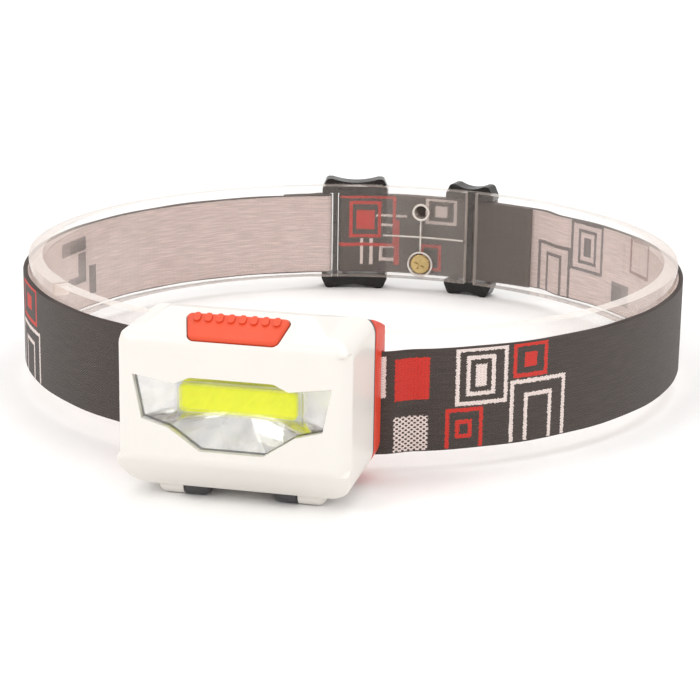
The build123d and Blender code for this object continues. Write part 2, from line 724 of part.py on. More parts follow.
def make_cob_board():
    """Aluminium board that carries the strip of light-emitting chips."""
    with BuildPart() as board:
        with BuildSketch(front(REFLECTOR_BACK - COB_BOARD_THICKNESS)):
            with Locations((0, COB_Z)):
                RectangleRounded(COB_LENGTH + 5, COB_HEIGHT + 3, 1)
                with Locations((-COB_LENGTH / 2 - 1.2, 0), (COB_LENGTH / 2 + 1.2, 0)):
                    Circle(0.5, mode=Mode.SUBTRACT)
        extrude(amount=COB_BOARD_THICKNESS)
    return board


def make_cob_phosphor():
    """Yellow strip over the chips, with rounded ends and a softly crowned face."""
    with BuildPart() as strip:
        with BuildSketch(front(REFLECTOR_BACK)):
            with Locations((0, COB_Z)):
                RectangleRounded(COB_LENGTH, COB_HEIGHT, 1.2)
        extrude(amount=0.8)
        fillet(strip.faces().sort_by(Axis.Y)[0].edges(), 0.35)
    return strip


save(make_lens(), "window_lens")
save(make_window_seal(), "window_seal")
save(make_reflector(), "reflector")
save(make_cob_board(), "cob_board")
save(make_cob_phosphor(), "cob_phosphor")


# ==== cells and their carrier =========================================================================

CARRIER_FRONT = 111.4
CARRIER_HALF_WIDTH = 24.9
CARRIER_BOTTOM = CELL_Z[0] - CELL_R - 0.5
CARRIER_TOP = CELL_Z[-1] + CELL_R + 0.6
CARRIER_CHEEK = 4.4
CELL_BAY = 48.6
SPRING_LENGTH = 2.6
CONTACT_THICKNESS = 0.5
CONTACT_R = 2.9
SCREW_HEAD_R = 1.1
SCREW_HEAD_HEIGHT = 1.2


def make_cell_carrier():
    """Tray with a half-round bay for each cell and two ears that screw to the shell."""
    middle = (CARRIER_BOTTOM + CARRIER_TOP) / 2
    with BuildPart() as carrier:
        with BuildSketch(front(CELL_DEPTH)):
            add(lamp_outline(WALL + 0.2))
            with Locations((0, middle)):
                Rectangle(2 * CARRIER_HALF_WIDTH, CARRIER_TOP - CARRIER_BOTTOM, mode=Mode.INTERSECT)
        extrude(amount=CARRIER_FRONT - CELL_DEPTH)
        with BuildSketch(front(CELL_DEPTH - CARRIER_CHEEK)):
            add(lamp_outline(WALL + 0.2))
            with Locations((0, middle)):
                Rectangle(2 * CARRIER_HALF_WIDTH, CARRIER_TOP - CARRIER_BOTTOM, mode=Mode.INTERSECT)
                Rectangle(CELL_BAY, CARRIER_TOP - CARRIER_BOTTOM + 1, mode=Mode.SUBTRACT)
        extrude(amount=CARRIER_CHEEK)
        with BuildSketch(front(EAR_FRONT)):
            with Locations(*[(x, z - 0.5) for x, z in SHELL_BOSSES]):
                Rectangle(EAR_WIDTH, 3.6)
        extrude(amount=-EAR_THICKNESS)
        with BuildSketch(front(CELL_DEPTH)):
            with Locations(*[(x, z - 1.7) for x, z in SHELL_BOSSES]):
                Rectangle(EAR_WIDTH, 1.2)
        extrude(amount=EAR_BACK - CELL_DEPTH)
        with BuildSketch(Plane.YZ.offset(-CELL_BAY / 2)):
            with Locations(*[(-CELL_DEPTH, z) for z in CELL_Z]):
                Circle(CELL_R + 0.15)
        extrude(amount=CELL_BAY, mode=Mode.SUBTRACT)
        with BuildSketch(BROW_PLANE.offset(-6.8)):
            Rectangle(30, 24)
        extrude(amount=12, mode=Mode.SUBTRACT)
        with BuildSketch(front(100)):
            with Locations(*SHELL_BOSSES):
                Circle(1.0)
        extrude(amount=6, mode=Mode.SUBTRACT)
        with BuildSketch(front(EAR_FRONT)):
            with Locations(*SHELL_BOSSES):
                Circle(SHELL_BOSS_R + 0.2)
        extrude(amount=9, mode=Mode.SUBTRACT)
        for side in (-1, 1):
            with BuildSketch(Plane.YZ.offset(side * (KNUCKLE_INNER - 1.6))):
                with Locations((-HINGE_DEPTH, HINGE_Z)):
                    Circle(KNUCKLE_R + 1.6)
            extrude(amount=side * 16, mode=Mode.SUBTRACT)
    return carrier


def make_cell(row):
    """One AAA cell with its raised positive end; neighbouring cells point opposite ways."""
    side = 1 if row % 2 == 0 else -1
    with BuildPart() as cell:
        with BuildSketch(Plane.YZ.offset(-side * (CELL_LENGTH / 2 - SPRING_LENGTH / 2))):
            with Locations((-CELL_DEPTH, CELL_Z[row])):
                Circle(CELL_R)
        extrude(amount=side * (CELL_LENGTH - 0.9))
        fillet(cell.edges(), 0.4)
        with BuildSketch(Plane.YZ.offset(side * (CELL_LENGTH / 2 + SPRING_LENGTH / 2 - 1.0))):
            with Locations((-CELL_DEPTH, CELL_Z[row])):
                Circle(1.9)
        extrude(amount=side * 0.9)
    return cell


def make_cell_springs():
    """Conical springs that press on the cells' flat ends, drawn as solid cones."""
    with BuildPart() as springs:
        for row, z in enumerate(CELL_Z):
            side = 1 if row % 2 == 0 else -1
            start = -side * (CELL_BAY / 2 - CONTACT_THICKNESS)
            stop = -side * (CELL_LENGTH / 2 - SPRING_LENGTH / 2)
            with BuildSketch(Plane.YZ.offset(start)):
                with Locations((-CELL_DEPTH, z)):
                    Circle(CONTACT_R - 0.2)
            with BuildSketch(Plane.YZ.offset(stop)):
                with Locations((-CELL_DEPTH, z)):
                    Circle(2.2)
            loft()
    return springs


def make_cell_contacts():
    """Nickel-plated strips at both ends of the bays, which join the cells in series."""
    joined_rows = [(-1, [0]), (-1, [1, 2]), (1, [0, 1]), (1, [2])]
    with BuildPart() as contacts:
        for side, rows in joined_rows:
            with BuildSketch(Plane.YZ.offset(side * CELL_BAY / 2)):
                with Locations(*[(-CELL_DEPTH, CELL_Z[row]) for row in rows]):
                    Circle(CONTACT_R)
                if len(rows) == 2:
                    with Locations((-CELL_DEPTH + 1.4, (CELL_Z[rows[0]] + CELL_Z[rows[1]]) / 2)):
                        Rectangle(2.4, CELL_PITCH)
            extrude(amount=-side * CONTACT_THICKNESS)
    return contacts


def make_battery_door():
    """Cover that closes the back of the lamp, with a latch tongue at its top."""
    with BuildPart() as door:
        with BuildSketch(front(LAMP_REAR)):
            add(lamp_outline(WALL + 0.15))
        extrude(amount=DOOR_THICKNESS)
        add(beyond(ROOF_PLANE.offset(-WALL - 0.15)), mode=Mode.SUBTRACT)
        with BuildSketch(front(LAMP_REAR)):
            with Locations(*[(0, 3.6 + 3.2 * groove) for groove in range(-2, 3)]):
                SlotOverall(18, 1.2)
        extrude(amount=0.4, mode=Mode.SUBTRACT)
        with BuildSketch(front(LAMP_REAR + DOOR_THICKNESS)):
            with Locations((0, 20.3)):
                Rectangle(9, 1.2)
        extrude(amount=2.6)
        with BuildSketch(front(LAMP_REAR)):
            with Locations((-6.5, 22.0), (6.5, 22.0)):
                Rectangle(0.7, 6.0)
        extrude(amount=DOOR_THICKNESS, mode=Mode.SUBTRACT)
    return door


def make_carrier_screws():
    """Two screws that hold the cell carrier's ears to the shell's bosses."""
    with BuildPart() as screws:
        with BuildSketch(front(EAR_BACK)):
            with Locations(*SHELL_BOSSES):
                Circle(SCREW_HEAD_R)
        extrude(amount=-SCREW_HEAD_HEIGHT)
        with BuildSketch(front(EAR_BACK)):
            with Locations(*SHELL_BOSSES):
                Circle(BOSS_HOLE_R)
        extrude(amount=6.5)
        with BuildSketch(front(EAR_BACK - SCREW_HEAD_HEIGHT + 0.4)):
            with Locations(*SHELL_BOSSES):
                Rectangle(2.0, 0.4)
                Rectangle(0.4, 2.0)
        extrude(amount=-1, mode=Mode.SUBTRACT)
    return screws


save(make_cell_carrier(), "cell_carrier")
for row in range(len(CELL_Z)):
    save(make_cell(row), f"cell_{row + 1}")
save(make_cell_springs(), "cell_springs")
save(make_cell_contacts(), "cell_contacts")
save(make_battery_door(), "battery_door")
save(make_carrier_screws(), "carrier_screws")


# ==== switch ==========================================================================================

BOARD_LEVEL = -6.5
BOARD_THICKNESS = 1.0
SWITCH_HEIGHT = 2.0
PLUNGER_R = 1.1
FLANGE_LEVEL = -WALL - 0.05
LEAD_DEPTH = 112.05


def make_control_board():
    """Circuit board below the button, parallel to the brow."""
    with BuildPart() as board:
        with BuildSketch(BROW_PLANE.offset(BOARD_LEVEL)):
            with Locations((0, -1.0)):
                RectangleRounded(24, 7.2, 0.6)
            with Locations((-10, -1.0), (10, -1.0)):
                Circle(0.7, mode=Mode.SUBTRACT)
        extrude(amount=BOARD_THICKNESS)
    return board


def make_driver_chips():
    """Controller, transistor and resistors beside the switch."""
    with BuildPart() as chips:
        with BuildSketch(BROW_PLANE.offset(BOARD_LEVEL + BOARD_THICKNESS)):
            with Locations((-6.0, -1.0)):
                Rectangle(4.0, 4.8)
            with Locations((5.6, -2.4)):
                Rectangle(2.9, 1.6)
            with Locations((5.0, 0.8), (7.4, 0.8)):
                Rectangle(1.2, 2.0)
        extrude(amount=1.1)
    return chips


def make_tact_switch():
    """Body of the tactile switch, with the well that its plunger moves in."""
    base = BOARD_LEVEL + BOARD_THICKNESS
    with BuildPart() as switch:
        with BuildSketch(BROW_PLANE.offset(base)):
            RectangleRounded(4.6, 4.6, 0.4)
        extrude(amount=SWITCH_HEIGHT)
        with BuildSketch(BROW_PLANE.offset(base + SWITCH_HEIGHT)):
            Circle(PLUNGER_R + 0.15)
        extrude(amount=-SWITCH_HEIGHT + 0.3, mode=Mode.SUBTRACT)
    return switch


def make_switch_plunger():
    """Stem of the tactile switch, which moves with the button."""
    top = FLANGE_LEVEL - 0.8
    bottom = BOARD_LEVEL + BOARD_THICKNESS + 0.3 + BUTTON_TRAVEL + 0.1
    with BuildPart() as plunger:
        with BuildSketch(BROW_PLANE.offset(bottom)):
            Circle(PLUNGER_R)
        extrude(amount=top - bottom)
    return plunger


def make_power_button():
    """Soft trapezoid button with finger ribs across its upper edge and a flange under the wall."""
    rib_pitch = BUTTON_HIGH_WIDTH / (BUTTON_RIBS + 0.6)
    with BuildPart() as button:
        with BuildSketch(BROW_PLANE.offset(FLANGE_LEVEL)):
            add(button_outline())
        extrude(amount=BUTTON_PROUD - FLANGE_LEVEL)
        fillet(button.faces().sort_by(Axis(BROW_PLANE.origin, BROW_PLANE.z_dir))[-1].edges(), 0.7)
        with BuildSketch(BROW_PLANE.offset(BUTTON_PROUD - 0.6)):
            for rib in range(BUTTON_RIBS):
                with Locations(((rib - (BUTTON_RIBS - 1) / 2) * rib_pitch * 0.93, BUTTON_HIGH - 1.6)):
                    RectangleRounded(1.5, 2.4, 0.7)
        extrude(amount=1.05)
        with BuildSketch(BROW_PLANE.offset(FLANGE_LEVEL)):
            with Locations((0, (BUTTON_HIGH + BUTTON_LOW) / 2)):
                RectangleRounded(BUTTON_HIGH_WIDTH + 1.4, BUTTON_HIGH - BUTTON_LOW, 1.5)
        extrude(amount=-0.8)
    return button


def make_leads():
    """Two insulated leads from the light source's board up to the control board."""
    with BuildPart() as leads:
        for side in (-1, 1):
            with BuildLine() as route:
                FilletPolyline(
                    (side * (COB_LENGTH / 2 + 2.6), -LEAD_DEPTH, COB_Z + 1.5),
                    (side * 18.4, -LEAD_DEPTH, COB_Z + 1.5),
                    (side * 18.4, -LEAD_DEPTH, 15.6),
                    (side * 12.0, -LEAD_DEPTH, 16.6),
                    radius=1.4,
                )
            with BuildSketch(Plane(origin=route.line @ 0, z_dir=route.line % 0)):
                Circle(0.45)
            sweep(path=route.line)
    return leads


save(make_control_board(), "control_board")
save(make_driver_chips(), "driver_chips")
save(make_tact_switch(), "tact_switch")
save(make_switch_plunger(), "switch_plunger")
save(make_power_button(), "power_button")
save(make_leads(), "led_leads")
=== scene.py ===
import json
from math import cos, pi, radians, sin

import bmesh
import bpy
from mathutils import Matrix, Vector


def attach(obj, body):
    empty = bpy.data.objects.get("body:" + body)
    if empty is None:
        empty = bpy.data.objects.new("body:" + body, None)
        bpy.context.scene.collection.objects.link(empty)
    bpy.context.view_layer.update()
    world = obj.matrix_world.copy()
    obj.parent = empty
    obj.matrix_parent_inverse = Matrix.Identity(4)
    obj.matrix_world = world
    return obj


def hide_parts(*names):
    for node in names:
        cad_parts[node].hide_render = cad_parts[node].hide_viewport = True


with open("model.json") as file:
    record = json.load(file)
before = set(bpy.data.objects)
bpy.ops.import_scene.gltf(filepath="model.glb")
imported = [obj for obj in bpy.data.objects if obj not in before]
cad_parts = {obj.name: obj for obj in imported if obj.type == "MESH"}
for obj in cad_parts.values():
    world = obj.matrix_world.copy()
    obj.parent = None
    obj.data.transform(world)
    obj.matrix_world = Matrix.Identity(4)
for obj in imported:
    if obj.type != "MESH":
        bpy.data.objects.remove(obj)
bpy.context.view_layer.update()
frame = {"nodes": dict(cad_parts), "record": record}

MM = 0.001
FLOOR_Z = -17.5 * MM


# ==== camera, floor and light ===========================================================================

CAMERA_AZIMUTH = 12.8
CAMERA_ELEVATION = 14.7388
CAMERA_ROLL = 0.8594
CAMERA_PLACE = (122.57, -539.50, 145.54)
CAMERA_LENS = 107.537
CAMERA_SHIFT = (-0.0039, -0.0645)

# name, place in metres, side in metres, power in watts
LIGHTS = [
    ("key", (-0.7, -0.9, 1.1), 0.8, 6.0),
    ("fill", (1.1, -0.6, 0.7), 0.9, 3.0),
    ("top", (0.1, 0.3, 1.3), 1.0, 5.0),
]


def make_camera():
    """Camera of the reference view: a little to the right of the lamp and above it."""
    azimuth, elevation, roll = map(radians, (CAMERA_AZIMUTH, CAMERA_ELEVATION, CAMERA_ROLL))
    back = Vector((sin(azimuth) * cos(elevation), -cos(azimuth) * cos(elevation), sin(elevation)))
    level = Vector((cos(azimuth), sin(azimuth), 0))
    rise = back.cross(level)
    right = level * cos(roll) + rise * sin(roll)
    up = rise * cos(roll) - level * sin(roll)
    data = bpy.data.cameras.new("camera")
    data.sensor_width = 36
    data.lens = CAMERA_LENS
    data.shift_x, data.shift_y = CAMERA_SHIFT
    data.clip_start = 0.01
    camera = bpy.data.objects.new("camera", data)
    camera.matrix_world = Matrix.Translation(Vector(CAMERA_PLACE) * MM) @ Matrix(
        (right, up, back)
    ).transposed().to_4x4()
    bpy.context.collection.objects.link(camera)
    bpy.context.scene.camera = camera


def make_light(name, place, size, power):
    """Soft square studio light that points at the middle of the object."""
    data = bpy.data.lights.new(name, "AREA")
    data.size = size
    data.energy = power
    light = bpy.data.objects.new(name, data)
    light.location = place
    light.rotation_euler = (-Vector(place)).to_track_quat("-Z", "Y").to_euler()
    bpy.context.collection.objects.link(light)


def make_world():
    """Even, nearly white surroundings."""
    world = bpy.data.worlds.new("studio")
    world.use_nodes = True
    background = world.node_tree.nodes["Background"]
    background.inputs["Color"].default_value = (1.0, 0.99, 0.98, 1)
    background.inputs["Strength"].default_value = 0.95
    bpy.context.scene.world = world
    bpy.context.scene.view_settings.view_transform = "Standard"


# ==== node graphs =======================================================================================

def tint(red, green, blue):
    """Linear colour of an sRGB colour given in 0-255 steps."""
    steps = [c / 255 for c in (red, green, blue)]
    return tuple(c / 12.92 if c <= 0.04045 else ((c + 0.055) / 1.055) ** 2.4 for c in steps) + (1.0,)


def scaled(colour, factor):
    """The same colour, lighter or darker."""
    return tuple(min(1.0, c * factor) for c in colour[:3]) + (1.0,)


class Graph:
    """Short ways to add nodes to a shader tree."""

    def __init__(self, tree):
        self.tree = tree

    def feed(self, socket, value):
        """Link an output to a socket, or set the socket's own value."""
        if isinstance(value, bpy.types.NodeSocket):
            self.tree.links.new(value, socket)
        else:
            socket.default_value = value

    def add(self, kind, inputs=None, **settings):
        """New node with its settings and its inputs, given by name or by number."""
        node = self.tree.nodes.new(kind)
        for key, value in settings.items():
            setattr(node, key, value)
        for key, value in (inputs or {}).items():
            self.feed(node.inputs[key], value)
        return node

    def math(self, operation, *values):
        """Output of one math node."""
        node = self.add("ShaderNodeMath", dict(enumerate(values)), operation=operation)
        return node.outputs[0]

    def mix(self, factor, first, second):
        """Colour between two colours."""
        node = self.add("ShaderNodeMix", {0: factor, 6: first, 7: second}, data_type="RGBA")
        return node.outputs[2]

    def noise(self, scale, detail=3.0, vector=None, **inputs):
        """Grey noise, in the object's own metres where no vector is given."""
        place = vector or self.add("ShaderNodeTexCoord").outputs["Object"]
        sockets = {"Vector": place, "Scale": scale, "Detail": detail, **inputs}
        return self.add("ShaderNodeTexNoise", sockets).outputs["Fac"]

    def spread(self, value, low, high, start=0.35, stop=0.65):
        """Value carried from its usual range to another one."""
        sockets = {"Value": value, "From Min": start, "From Max": stop, "To Min": low, "To Max": high}
        return self.add("ShaderNodeMapRange", sockets).outputs["Result"]

    def bump(self, height, distance, strength=1.0):
        """Normal of a surface with a height on it, in metres."""
        sockets = {"Height": height, "Distance": distance, "Strength": strength}
        return self.add("ShaderNodeBump", sockets).outputs["Normal"]


def new_material(name, settings):
    """New material with its graph and its shader, whose even values are set on the shader itself."""
    material = bpy.data.materials.new(name)
    material.use_nodes = True
    shader = material.node_tree.nodes["Principled BSDF"]
    for socket, value in settings.items():
        shader.inputs[socket].default_value = value
    return material, Graph(material.node_tree), shader


def moulded(
    name, colour, variation=0.06, gloss=(0.3, 0.42), grain=2400.0, depth=0.00002, fleck=0.12, **settings
):
    """Moulded plastic or rubber: slow tone changes, a fine mould grain, rubbed and duller patches."""
    material, graph, shader = new_material(name, settings)
    patches = graph.noise(55.0, 4.0)
    fine = graph.noise(grain, 2.0)
    tone = graph.mix(
        graph.spread(patches, 0.0, 1.0), scaled(colour, 1 - variation), scaled(colour, 1 + variation)
    )
    flecked = graph.mix(graph.spread(fine, 0.0, fleck), tone, scaled(colour, 0.7))
    graph.feed(shader.inputs["Base Color"], flecked)
    smears = graph.noise(120.0, 3.0)
    graph.feed(shader.inputs["Roughness"], graph.spread(smears, gloss[0], gloss[1]))
    graph.feed(shader.inputs["Normal"], graph.bump(fine, depth))
    return material


def metal(name, colour, gloss=(0.18, 0.34), stretch=(1.0, 1.0, 14.0), depth=0.00001, **settings):
    """Metal with a drawn or brushed finish, darker where it is handled."""
    material, graph, shader = new_material(name, {"Metallic": 1.0, **settings})
    place = graph.add("ShaderNodeTexCoord").outputs["Object"]
    drawn = graph.add("ShaderNodeVectorMath", {0: place, 1: stretch}, operation="MULTIPLY").outputs[0]
    lines = graph.noise(900.0, 3.0, vector=drawn)
    stains = graph.noise(220.0, 4.0)
    base = graph.mix(graph.spread(stains, 0.0, 1.0), scaled(colour, 0.82), colour)
    graph.feed(shader.inputs["Base Color"], base)
    graph.feed(shader.inputs["Roughness"], graph.spread(lines, gloss[0], gloss[1]))
    graph.feed(shader.inputs["Normal"], graph.bump(lines, depth))
    return material


def clear(name, colour, haze, transmission, scratch_depth, **settings):
    """Clear plastic with faint flow marks, haze and fine scratches."""
    material, graph, shader = new_material(name, {"Transmission Weight": transmission, **settings})
    flow = graph.noise(38.0, 3.0, Distortion=1.2)
    scratches = graph.noise(700.0, 5.0)
    base = graph.mix(graph.spread(flow, 0.0, 1.0), colour, scaled(colour, 0.93))
    graph.feed(shader.inputs["Base Color"], base)
    graph.feed(shader.inputs["Roughness"], graph.spread(scratches, haze[0], haze[1]))
    graph.feed(shader.inputs["Normal"], graph.bump(scratches, scratch_depth))
    return material


def clear_strip(name):
    """Clear strip: faintly veiled on its flat faces, more opaque at grazing angles as a painted sheen, and
    with painted milky-cream highlights along its edges and end faces.
    """
    settings = {"Transmission Weight": 0.55, "IOR": 1.46, "Coat Weight": 0.6, "Coat Roughness": 0.05}
    material, graph, shader = new_material(name, settings)
    flow = graph.noise(38.0, 3.0, Distortion=1.2)
    scratches = graph.noise(700.0, 5.0)
    grazing = graph.add("ShaderNodeLayerWeight", {"Blend": 0.3}).outputs["Facing"]
    own = graph.add("ShaderNodeTexCoord")
    normal = own.outputs["Normal"]
    upright = graph.math("ABSOLUTE", graph.add("ShaderNodeSeparateXYZ", {0: normal}).outputs["Z"])
    rim = graph.math("GREATER_THAN", upright, 0.6)
    level = graph.add("ShaderNodeVectorMath", {0: own.outputs["Object"], 1: (1, 1, 0)}, operation="MULTIPLY")
    radial = graph.add("ShaderNodeVectorMath", {0: level.outputs[0]}, operation="NORMALIZE")
    facing = graph.add("ShaderNodeVectorMath", {0: radial.outputs[0], 1: normal}, operation="DOT_PRODUCT")
    turned = graph.math("LESS_THAN", graph.math("ABSOLUTE", facing.outputs["Value"]), 0.75)
    cut = graph.math("MULTIPLY", graph.math("SUBTRACT", 1.0, rim), turned)
    # Painted sheen: the strip is made more opaque, and so creamier, where it is seen at grazing angles.
    veil_and_grazing_sheen = graph.spread(grazing, 0.1, 0.8, 0.25, 1.0)
    # Painted highlights: the top and bottom edge faces and the cut end faces are made nearly opaque.
    edge_highlights = graph.math("MAXIMUM", graph.math("MULTIPLY", rim, 0.68), graph.math("MULTIPLY", cut, 0.92))
    graph.feed(shader.inputs["Alpha"], graph.math("MAXIMUM", veil_and_grazing_sheen, edge_highlights))
    body = graph.mix(graph.spread(flow, 0.0, 1.0), tint(250, 240, 232), tint(242, 228, 218))
    # Painted highlight: the top and bottom edge faces get a cream colour.
    graph.feed(shader.inputs["Base Color"], graph.mix(rim, body, tint(246, 232, 222)))
    graph.feed(shader.inputs["Roughness"], graph.spread(scratches, 0.04, 0.1))
    graph.feed(shader.inputs["Normal"], graph.bump(scratches, 0.00001))
    return material


def phosphor_painted_glow(name):
    """Phosphor gel over the row of chips: yellow, faintly mottled, a little brighter over each chip, with a
    painted glow from its emission.
    """
    # The emission is a painted glow that lifts the phosphor's yellow.
    settings = {"Subsurface Weight": 0.15, "Subsurface Scale": 0.001, "Emission Strength": 0.34}
    material, graph, shader = new_material(name, settings)
    place = graph.add("ShaderNodeTexCoord").outputs["Object"]
    along = graph.add("ShaderNodeSeparateXYZ", {0: place}).outputs["X"]
    chips = graph.math("SINE", graph.math("MULTIPLY", along, 2 * pi / (1.35 * MM)))
    mottle = graph.noise(1400.0, 3.0)
    level = graph.math("ADD", graph.math("MULTIPLY", chips, 0.04), mottle)
    tone = graph.mix(graph.spread(level, 0.0, 1.0, 0.3, 0.7), tint(208, 212, 10), tint(226, 230, 32))
    graph.feed(shader.inputs["Base Color"], tone)
    graph.feed(shader.inputs["Emission Color"], tone)
    graph.feed(shader.inputs["Roughness"], graph.spread(mottle, 0.3, 0.5))
    graph.feed(shader.inputs["Normal"], graph.bump(level, 0.00004))
    return material


def printed_sleeve(name):
    """Shrink sleeve of a cell: two generic bands of colour across a darker body."""
    material, graph, shader = new_material(name, {"Metallic": 0.35, "Coat Weight": 0.4})
    place = graph.add("ShaderNodeTexCoord").outputs["Object"]
    along = graph.add("ShaderNodeSeparateXYZ", {0: place}).outputs["X"]
    band = graph.math("GREATER_THAN", along, 9.0 * MM)
    specks = graph.noise(500.0, 3.0)
    dark = graph.mix(graph.spread(specks, 0.0, 1.0), tint(44, 60, 54), tint(58, 76, 68))
    graph.feed(shader.inputs["Base Color"], graph.mix(band, dark, tint(186, 150, 86)))
    graph.feed(shader.inputs["Roughness"], graph.spread(specks, 0.25, 0.42))
    graph.feed(shader.inputs["Normal"], graph.bump(specks, 0.00001))
    return material


SLOT_MATERIALS = {
    "clear_former": clear_strip,
    "clear_lens": lambda name: clear(
        name, tint(252, 253, 255), (0.0, 0.05), 1.0, 0.000002, IOR=1.45, Alpha=0.3),
    "zinc_screw": lambda name: metal(name, tint(196, 172, 120)),
    "steel_screw": lambda name: metal(name, tint(188, 188, 186)),
    "steel_pin": lambda name: metal(name, tint(196, 197, 200)),
    "nickel": lambda name: metal(name, tint(204, 198, 186)),
    "board_aluminium": lambda name: metal(name, tint(208, 209, 212), (0.3, 0.5)),
    "mirror_plating": lambda name: metal(
        name, tint(230, 228, 226), (0.03, 0.09), (1.0, 1.0, 1.0), 0.000004),
    "slider_black": lambda name: moulded(
        name, tint(24, 22, 21), 0.15, (0.2, 0.34), 1800.0, 0.00001, **{"Specular IOR Level": 0.35}),
    "orange_plastic": lambda name: moulded(name, tint(216, 62, 36), 0.05, (0.34, 0.48)),
    "orange_rubber": lambda name: moulded(name, tint(218, 74, 38), 0.06, (0.42, 0.56), 3000.0, 0.00003),
    "grey_plastic": lambda name: moulded(name, tint(66, 65, 66), 0.08, (0.38, 0.52)),
    "white_plastic": lambda name: moulded(
        name, tint(226, 222, 216), 0.01, (0.3, 0.36), 2600.0, 0.000003, 0.02, **{"Coat Weight": 0.1}),
    "black_rubber": lambda name: moulded(name, tint(74, 74, 76), 0.1, (0.5, 0.7)),
    "carrier_plastic": lambda name: moulded(name, tint(196, 192, 184), 0.05, (0.4, 0.55)),
    "board_green": lambda name: moulded(name, tint(26, 96, 58), 0.15, (0.25, 0.4), 900.0, 0.00003),
    "chip_black": lambda name: moulded(name, tint(34, 34, 36), 0.1, (0.45, 0.6)),
    "lead_sleeve": lambda name: moulded(name, tint(176, 34, 28), 0.08, (0.35, 0.5)),
    "cell_sleeve": printed_sleeve,
    "phosphor": phosphor_painted_glow,
}


def dress_cad_parts():
    """Give every CAD node the material of its slot in the record, except the ones that are replaced."""
    made = {slot: build(slot) for slot, build in SLOT_MATERIALS.items()}
    for subpart in frame["record"]["subparts"]:
        material = made.get(subpart["material_slot"])
        node = frame["nodes"][subpart["node"]]
        if material is None:
            continue
        if not node.material_slots:
            node.data.materials.append(material)
        for place in node.material_slots:
            place.link = "OBJECT"
            place.material = material


# ==== webbing ===========================================================================================

# A key is (bearing, radius). A loop is (bearing, radius of its bar, radius of the wrap, way round).
STRAP_HALF = 12.5
STRAP_THICK = 1.2
EDGE_ROLL = 0.45
PATTERN_R = 88.2
STRAP_KEYS = [
    (-18.6, 88.05), (-21.5, 88.2), (-157.5, 88.2), (-162.5, 89.9), (-197.5, 89.9),
    (-202.5, 88.2), (-327.5, 88.2), (-333.5, 90.7), (-374.6, 91.3),
]
FLAP_KEYS = [(-27.0, 89.5), (-22.0, 89.6), (-19.6, 91.1), (-18.6, 91.15)]
TAIL_KEYS = [(-14.6, 88.65), (-11.0, 89.35), (24.5, 89.35)]
SEWN_LOOP = (-18.6, 89.6, 1.55, 1)
FOLD_LOOP = (-14.6, 90.05, 1.45, -1)
FLAP_TURN = 37.2

# Woven figures as (style, colour, from, to, low, high): "from" and "to" are turns of the strap in degrees,
# counted from the back over the left side, so the reverse and the loose end use the same count.
FRONT = 360.0
TAIL = 389.2
FIGURES = [
    ("solid", "light", FRONT - 163.3, FRONT - 162.2, 1.5, 11.4),
    ("solid", "red", FRONT - 160.9, FRONT - 155.4, 0.4, 10.6),
    ("knit", "light", FRONT - 161.0, FRONT - 155.5, -12.3, -3.5),
    ("line", "light", FRONT - 151.3, FRONT - 142.7, -1.8, 12.3),
    ("line", "light", FRONT - 149.6, FRONT - 144.8, 0.5, 10.3),
    ("solid", "light", FRONT - 148.1, FRONT - 146.3, 2.7, 8.1),
    ("arch", "red", FRONT - 152.8, FRONT - 146.7, -12.5, -2.3),
    ("line", "red", FRONT - 151.2, FRONT - 148.5, -9.7, -5.2),
    ("line", "red", FRONT - 141.8, FRONT - 135.6, 3.7, 12.3),
    ("solid", "red", FRONT - 139.8, FRONT - 137.6, 6.2, 9.8),
    ("arch", "light", FRONT - 142.2, FRONT - 132.0, -12.5, 3.2),
    ("arch", "light", FRONT - 139.7, FRONT - 134.6, -12.5, -0.2),
    ("line", "red", FRONT - 242.9, FRONT - 232.7, 2.4, 12.3),
    ("solid", "red", FRONT - 239.6, FRONT - 236.0, 5.6, 9.4),
    ("arch", "light", FRONT - 243.8, FRONT - 231.1, -12.5, 1.3),
    ("arch", "light", FRONT - 240.6, FRONT - 234.4, -12.5, -2.2),
    ("solid", "light", FRONT - 284.3, FRONT - 275.5, 5.0, 9.0),
    ("solid", "light", FRONT - 284.2, FRONT - 281.6, -4.5, 4.4),
    ("solid", "light", FRONT - 284.2, FRONT - 277.7, -4.5, -2.2),
    ("solid", "light", FRONT - 287.4, FRONT - 285.2, -8.9, -0.2),
    ("arch", "light", FRONT - 35.3, FRONT - 26.1, -12.5, 3.2),
    ("arch", "light", FRONT - 33.0, FRONT - 28.4, -12.5, 0.2),
    ("line", "light", FRONT - 44.3, FRONT - 35.3, -3.0, 12.3),
    ("line", "light", FRONT - 42.3, FRONT - 37.3, -0.6, 9.9),
    ("solid", "light", FRONT - 40.8, FRONT - 38.8, 1.8, 7.5),
    ("line", "red", FRONT - 60.6, FRONT - 53.2, 1.4, 12.3),
    ("solid", "light", FRONT - 53.1, FRONT - 47.4, -9.2, -3.0),
    ("line", "red", TAIL - 16.1, TAIL - 4.3, -4.0, 12.3),
    ("line", "red", TAIL - 13.8, TAIL - 7.3, -1.2, 10.4),
    ("solid", "red", TAIL - 12.4, TAIL - 8.6, 1.4, 7.5),
    ("solid", "light", TAIL - 11.5, TAIL - 10.9, -9.9, -1.6),
    ("solid", "light", TAIL - 9.6, TAIL - 8.9, -9.9, -1.6),
    ("solid", "light", TAIL - 8.3, TAIL - 2.0, 5.6, 6.3),
    ("solid", "light", TAIL - 8.0, TAIL - 3.9, 2.6, 3.3),
    ("line", "light", TAIL - 7.6, TAIL - 3.6, -8.6, -3.4),
    ("solid", "red", TAIL - 4.6, TAIL - 3.5, -9.8, 4.6),
    ("line", "red", TAIL + 0.9, TAIL + 5.2, -11.0, -2.6),
    ("line", "light", TAIL + 1.8, TAIL + 8.3, 4.0, 12.3),
    ("solid", "light", TAIL + 3.8, TAIL + 6.3, 6.3, 9.9),
]
